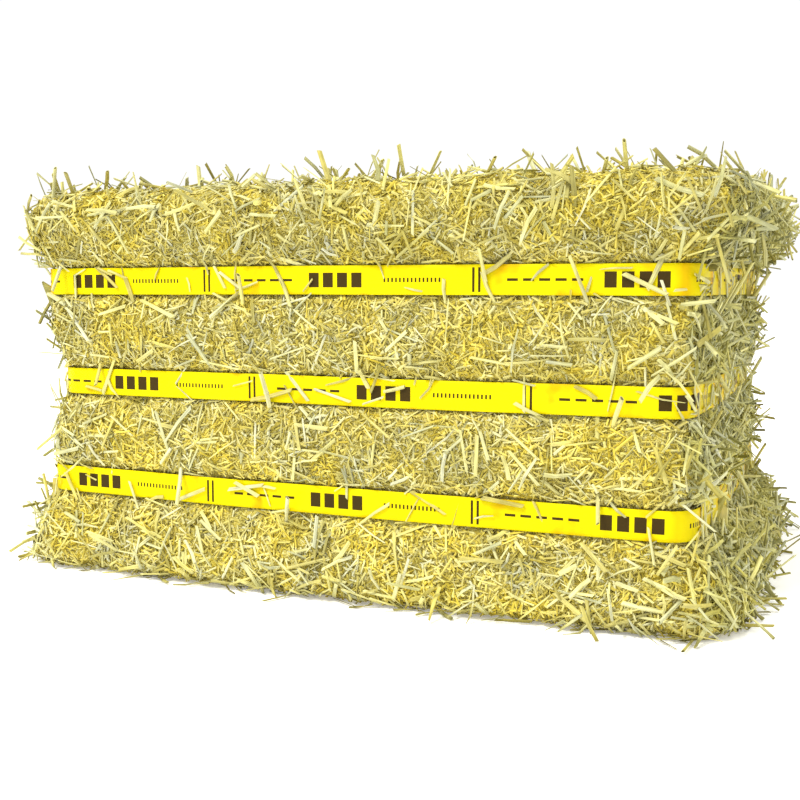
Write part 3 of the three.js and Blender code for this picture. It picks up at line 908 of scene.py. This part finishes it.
# Straws that stand out past a rim or corner, and straws that lie over a strap
RIM = {
    "Only loose": 1.0, "Rooted": 1.0, "Flat tilt": 1.0, "Loose tilt": 1.1,
    "Shortest": 0.022, "Longest": 0.036,
}
OVER = {"On straps": 1.0, "Beside straps": 0.0, "Over straps": 1.0, "Deepest": 0.004, "Highest": 0.007}
THIN = {"Narrowest": 0.002, "Widest": 0.0034}
THICK = {"Narrowest": 0.003, "Widest": 0.0048}
# The greyer straw with painted shade, for the ends and the top rim.
GREY = {"Finish": end_finish}


def lay_straws(name, side, seed, layers):
    """The straws of one side as one piece: layers are (kind, straws per square metre, changes)."""
    meshes = []
    for i, (kind, amount, changes) in enumerate(layers):
        values = {**kind, "Side": side, "Per square metre": float(amount), "Seed": seed + 100 * i}
        meshes.append(run_tree(laying, skin_mesh, {**values, **changes}))
    piece = join_meshes(name, meshes)
    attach(piece, "root")
    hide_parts("straw")


FACE_STRAWS = [
    (SPLIT, 3600, {}), (STEMS, 900, {}), (SPLIT, 500, OVER), (STEMS, 420, OVER),
    (SPLIT, 4000, RIM), (STEMS, 3400, RIM),
]
END_STRAWS = [
    (FLAKES, 50000, GREY), (CHAFF, 36000, GREY), (SPLIT, 9000, {**GREY, "Flat tilt": 0.8}),
    (STEMS, 3600, {**THIN, "Flat tilt": 0.8, "Rooted": 0.6}),
    (STEMS, 4000, {**THIN, **GREY, "Flat tilt": 1.1, "Rooted": 1.0, "Longest": 0.03}),
    (SPLIT, 1400, {**OVER, "Flat tilt": 0.7}), (STEMS, 1800, {**THIN, **OVER, "Flat tilt": 0.7}),
    (STEMS, 4000, {**THICK, **RIM}),
]
lay_straws("straw_front_chaff", FRONT, 1, [(FLAKES, 90000, {}), (CHAFF, 36000, {})])
lay_straws("straw_front_stems", FRONT, 2, FACE_STRAWS)
lay_straws("straw_right", RIGHT, 3, END_STRAWS)
lay_straws("straw_left", LEFT, 4, END_STRAWS)
lay_straws("straw_back", BACK, 5, [(FLAKES, 46000, {}), (CHAFF, 26000, {}), *FACE_STRAWS])
lay_straws("straw_bottom", BOTTOM, 6, [
    (CHAFF, 7000, {"Highest": 0.0015, "Flat tilt": 0.1}),
    (SPLIT, 1500, {"Highest": 0.001, "Flat tilt": 0.05}),
])
lay_straws("straw_top", TOP, 7, [
    (FLAKES, 30000, {}), (CHAFF, 20000, {}), (SPLIT, 3000, {}), (STEMS, 900, {}),
    (STEMS, 1600, {**THICK, **RIM, "Loose tilt": 1.4, "Longest": 0.032}),
    (SPLIT, 1000, {**RIM, **GREY, "Loose tilt": 1.4, "Longest": 0.032}),
])


# The stalks
# Long single stems of wheat, round and hollow, some with a joint, caught in the straw at one end
# and lying free over a strap or past an edge.
STALK_WIDTH = 0.004
CLEAR_HEIGHT = 0.01  # how high over the skin the stalks count as lying, so none gets the olive painted shade of deep-lying straws


def stalk_lines():
    """An edge along the middle of each stalk, from the solids that hold their places."""
    verts = []
    for name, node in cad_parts.items():
        if not name.startswith("stalk_"):
            continue
        points = np.array([v.co for v in node.data.vertices])
        middle = points.mean(0)
        along = np.linalg.svd(points - middle, full_matrices=False)[2][0]
        run = (points - middle) @ along
        verts += [middle + along * run.min(), middle + along * run.max()]
    mesh = bpy.data.meshes.new("stalk_lines")
    edges = [(i, i + 1) for i in range(0, len(verts), 2)]
    mesh.from_pydata([v.tolist() for v in verts], edges, [])
    return mesh


def stalk_tree():
    """Puts a stalk of its own length and width on each line."""
    tree, given = new_tree("Stalks on lines", "Lines", [
        ("Kit", "Collection"), ("Finish", "Material"), ("Width", "Float"), ("Seed", "Int"),
    ], "Stalks")
    seed = given["Seed"]
    ends = add_node(tree, "GeometryNodeInputMeshEdgeVertices").outputs
    run = vector_node(tree, "SUBTRACT", ends["Position 2"], ends["Position 1"])
    lines = store(tree, given["Lines"], "run", run, "EDGE", "FLOAT_VECTOR")
    points = result(tree, "GeometryNodeMeshToPoints", {"Mesh": lines}, mode="EDGES")
    way = named(tree, "run", "FLOAT_VECTOR")
    length = vector_node(tree, "LENGTH", way)
    width = math_node(tree, "MULTIPLY", given["Width"], random_value(tree, 0.8, 1.1, seed, 1))
    facing = result(tree, "FunctionNodeAlignRotationToVector", {"Vector": way}, axis="X")
    rolled = turned_by(tree, facing, random_value(tree, 0.0, 6.28, seed, 2))
    stalks = placed_kit(tree, given, points, rolled, length, width, {})
    stalks = store(tree, stalks, "tint", random_value(tree, 0.2, 1.0, seed, 3), "INSTANCE")
    stalks = store(tree, realized(tree, stalks), "height", CLEAR_HEIGHT, "POINT")
    return end_tree(tree, stalks, given["Finish"])


round_stem = round_section(10, 1, 0.9)
stalk_kit = kit("long_stalk", [
    (round_stem, [
        (0, 0, 0, 0.92, 0), (0.3, 0.12, 0.08, 0.96, 0), (0.56, 0.1, 0.1, 0.98, 0),
        (0.585, 0.1, 0.1, 1.2, 0), (0.61, 0.1, 0.1, 0.98, 0), (1, -0.1, 0, 0.9, 0),
    ], True),
    (round_stem, [(0, 0, 0, 0.94, 0), (0.5, 0.2, 0.1, 1, 0), (1, 0, 0, 0.96, 0)], True),
])
loose_stalks = join_meshes("loose_stalks", [run_tree(stalk_tree(), stalk_lines(), {
    "Kit": stalk_kit, "Finish": stem_finish, "Width": STALK_WIDTH, "Seed": 5,
})])
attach(loose_stalks, "root")
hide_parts(*[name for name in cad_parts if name.startswith("stalk_")])


# The straps
# Flat yellow polypropylene strapping, 25.4 mm wide and 0.9 mm thick, pulled tight, its ends welded
# over each other at the back. A plain pattern of dark bars, dashes and blocks is printed on it.
STRAP_THICKNESS = 0.0009
STRAP_STEP = 0.005
STRAP_EDGE = 0.0003
STRAP_GAP = 0.0002  # between the straw's outline and the strap
WAVES = 14  # per metre, in and out
WAVE_HEIGHT = 0.0003
STRAYS = 7  # per metre, up and down
STRAY_HEIGHT = 0.0007
RUCKS = 80  # per metre, round the two ends
RUCK_HEIGHT = 0.0022
WELD_LENGTH = 0.062
WELD_STEPS = 106
WELD_GAP = 0.0008
WELD_RIBS = 0.0012  # from one pressed rib of the weld to the next
WELD_DEPTH = 0.00018
WELD_SHARE = 0.28  # the ribs reach this share of the weld's length either way from its middle
WELD_PRINT = 0.07  # where in the printed pattern the outer end starts
MAP_ROWS = 8  # the loop lies on the baking map in rows, with the weld in the last
ROW_ROOM = 1.03  # a row's length on the map, as a share of what lies in it
UNPRINTED = 0.05  # the edges and the back lie this far off the print on its map
PRINT_REPEAT = 0.262
# Printed groups: start, how many marks, pitch, mark length, lowest and highest place across
PRINT = [
    (0.004, 2, 0.0052, 0.0021, -0.0102, 0.0102),
    (0.034, 5, 0.0135, 0.0092, -0.0011, 0.0011),
    (0.114, 4, 0.0138, 0.0098, -0.0064, 0.0064),
    (0.186, 15, 0.0036, 0.0016, -0.0019, 0.0019),
]
INK_COVER = 0.985
FIBRE_RIBS = 0.0011  # from one fine rib along the strap to the next


def printed(tree, along, across):
    """1 inside the printed marks, 0 outside them."""
    place = math_node(tree, "MODULO", along, PRINT_REPEAT)
    found = 0.0
    for start, count, pitch, length, low, high in PRINT:
        local = math_node(tree, "SUBTRACT", place, start)
        group = math_node(tree, "COMPARE", local, count * pitch / 2, count * pitch / 2)
        bar = math_node(tree, "COMPARE", math_node(tree, "MODULO", local, pitch), length / 2, length / 2)
        level = math_node(tree, "COMPARE", across, (low + high) / 2, (high - low) / 2)
        here = math_node(tree, "MULTIPLY", math_node(tree, "MULTIPLY", group, bar), level)
        found = math_node(tree, "MAXIMUM", found, here)
    return found


def over_coat(tree, factor, under, over):
    """One colour over another, as far as the factor says."""
    return add_node(tree, "ShaderNodeMix", {0: factor, 6: under, 7: over}, data_type="RGBA").outputs[2]


def strapping():
    """Yellow plastic with dark print, and a deeper gold painted shade in its creases and, a little, round
    the bale's ends.
    """
    made, tree, shader = new_material("yellow strapping", Roughness=0.42, Specular_IOR_Level=0.06)
    uv = result(tree, "ShaderNodeUVMap", uv_map="StrapUV")
    along, across, _ = add_node(tree, "ShaderNodeSeparateXYZ", {0: uv}).outputs
    cloud = clouds(tree, uv, 34)
    plastic = screen_ramp(tree, cloud, [(0.28, 206, 170, 4), (0.4, 214, 198, 2), (0.7, 216, 206, 2)])
    crease_shaded = over_coat(tree, own_value(tree, "crease_shade"), plastic, colour(210, 158, 4))
    ink = math_node(tree, "MULTIPLY", printed(tree, along, across), INK_COVER)
    ribs = math_node(tree, "SINE", math_node(tree, "MULTIPLY", across, 2 * math.pi / FIBRE_RIBS))
    dents = math_node(tree, "ADD", math_node(tree, "MULTIPLY", ribs, 0.06), cloud)
    finish_shader(tree, shader, over_coat(tree, ink, crease_shaded, colour(52, 38, 18)), dents, 0.0012, 0.5)
    return made


def band_section():
    """The strap's section, counterclockwise, as (out, up) pairs: a thin slab with eased edges."""
    half, thick, edge = STRAP_WIDTH / 2, STRAP_THICKNESS, STRAP_EDGE
    outer = [(thick, up) for up in np.linspace(edge - half, half - edge, 9)]
    inner = [(0, up) for up in (half - edge, 0, edge - half)]
    return [(edge, -half), (thick - edge, -half), *outer, (thick - edge, half), (edge, half), *inner]


def add_band(shape, path, closed, first_row):
    """The strap's section carried along (x, y, z, nx, ny, run, crease) stations."""
    print_map = shape.loops.layers.uv["StrapUV"]
    baking_map = shape.loops.layers.uv["OFBake"]
    crease_map = shape.verts.layers.float["crease_shade"]
    section = band_section()
    count = len(section)
    across = np.cumsum([0] + [math.dist(section[i], section[(i + 1) % count]) for i in range(count)])
    rings = []
    for x, y, z, nx, ny, _, crease_shade in path:
        rings.append([shape.verts.new((x + nx * out, y + ny * out, z + up)) for out, up in section])
        for vert in rings[-1]:
            vert[crease_map] = crease_shade
    runs = [station[5] for station in path] + [2 * path[-1][5] - path[-2][5]]
    row_run = (runs[-1] - runs[0]) / (MAP_ROWS - 1 if closed else 1)
    for r in range(len(path) if closed else len(path) - 1):
        near, far = rings[r], rings[(r + 1) % len(path)]
        row = min(int((runs[r] - runs[0]) / row_run), MAP_ROWS - 2)
        for i in range(count):
            after = (i + 1) % count
            face = shape.faces.new((near[i], far[i], far[after], near[after]))
            face.smooth = True
            outside = min(section[i][0], section[after][0]) >= STRAP_THICKNESS - STRAP_EDGE
            for loop, (step, k) in zip(face.loops, ((0, i), (1, i), (1, i + 1), (0, i + 1))):
                run = runs[r + step]
                loop[print_map].uv = (run, section[k % count][1] if outside else UNPRINTED + across[k])
                u = (run - runs[0] - row * row_run) / (ROW_ROOM * row_run)
                v = MAP_MARGIN + (1 - 2 * MAP_MARGIN) * across[k] / across[-1]
                loop[baking_map].uv = (u, (first_row + row + v) / MAP_ROWS)
    if not closed:
        shape.faces.new(rings[0])
        shape.faces.new(rings[-1][::-1])


def wobble(x, y, height, count, stride):
    """Smooth noise from -1 to 1 round the bale, with a stride that sets the three straps apart."""
    return noise.noise((count * x, count * y, stride * height))


def strap_path(height):
    """The strap's way round the bale, a little wavy, and rucked up at the two ends."""
    ring = outline(height, 0, STRAP_STEP, 12)
    run = np.concatenate([[0], np.cumsum(np.hypot(*np.diff(ring[:, :2], axis=0).T))])
    path = []
    for (x, y, nx, ny), s in zip(ring, run):
        wave = 1 + wobble(x, y, height, WAVES, 31)
        on_end = smooth(min(1, max(0, abs(nx) * 2 - 0.4)))
        ruck = max(0, wobble(x, y, height, RUCKS, 17)) * on_end
        out = STRAP_GAP + WAVE_HEIGHT * wave + RUCK_HEIGHT * ruck
        up = STRAY_HEIGHT * wobble(x, y, height, STRAYS, 53)
        # Painted shade: a deeper gold on the rucks and, a little, on the bale's ends.
        crease_shade = min(1, 0.1 * on_end + 1.7 * ruck)
        path.append((x + nx * out, y + ny * out, height + up, nx, ny, s, crease_shade))
    return path


def weld_path(height):
    """The short outer end of the strap, over the middle of the back face, pressed with ribs."""
    face = walls(height)[2] + FACE_BOW + STRAP_THICKNESS + WELD_GAP
    path = []
    for x in np.linspace(WELD_LENGTH / 2, -WELD_LENGTH / 2, WELD_STEPS):
        pressed = 0.5 + 0.5 * math.cos(2 * math.pi * x / WELD_RIBS)
        depth = WELD_DEPTH * pressed if abs(x) < WELD_SHARE * WELD_LENGTH else 0
        path.append((x, face - depth, height, 0, 1, WELD_PRINT + WELD_LENGTH / 2 - x, 0))
    return path


strap_finish = strapping()
for node_name, strap in STRAPS.items():
    shape = bmesh.new()
    shape.loops.layers.uv.new("StrapUV")
    shape.loops.layers.uv.new("OFBake")
    shape.verts.layers.float.new("crease_shade")
    add_band(shape, strap_path(strap["z"]), True, 0)
    add_band(shape, weld_path(strap["z"]), False, MAP_ROWS - 1)
    strap_mesh = bpy.data.meshes.new("strapping")
    shape.to_mesh(strap_mesh)
    shape.free()
    strap_mesh.materials.append(strap_finish)
    level = node_name.split("_")[1]
    strapping_piece = add_object(f"{level}_strapping", strap_mesh)
    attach(strapping_piece, "root")
    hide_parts(node_name)


# The studio
# A plain white floor that glows a little, a white room that lights the bale from all round, one
# big soft lamp high at the front left and a weak one at the right.
FLOOR_HALF = 30
WHITE = (1, 1, 1, 1)
FLOOR_GLOW = 0.25
ROOM_LIGHT = 1.03
LAMP_COLOUR = (1, 0.97, 0.84)
BALE_MIDDLE = Vector((0, 0, 0.18))
floor_mesh = bpy.data.meshes.new("floor")
floor_corners = [(x * FLOOR_HALF, y * FLOOR_HALF, 0) for x, y in ((-1, -1), (1, -1), (1, 1), (-1, 1))]
floor_mesh.from_pydata(floor_corners, [], [(0, 1, 2, 3)])
floor = add_object("floor", floor_mesh)
floor_mesh.materials.append(new_material(
    "white floor", Roughness=0.9, Base_Color=(0.96, 0.96, 0.96, 1), Specular_IOR_Level=0,
    Emission_Color=WHITE, Emission_Strength=FLOOR_GLOW,
)[0])

world = bpy.data.worlds.new("white room")
world.use_nodes = True
room = world.node_tree.nodes["Background"].inputs
room["Color"].default_value = WHITE
room["Strength"].default_value = ROOM_LIGHT
bpy.context.scene.world = world

for name, size, energy, place in (
    ("key lamp", 1.0, 88, (-0.7, -1.7, 2.5)),
    ("fill lamp", 1.5, 18, (1.4, -0.5, 3.2)),
):
    lamp_data = bpy.data.lights.new(name, "AREA")
    lamp_data.size = size
    lamp_data.energy = energy
    lamp_data.color = LAMP_COLOUR
    lamp = add_object(name, lamp_data)
    lamp.location = place
    lamp.rotation_euler = (BALE_MIDDLE - lamp.location).to_track_quat("-Z", "Y").to_euler()
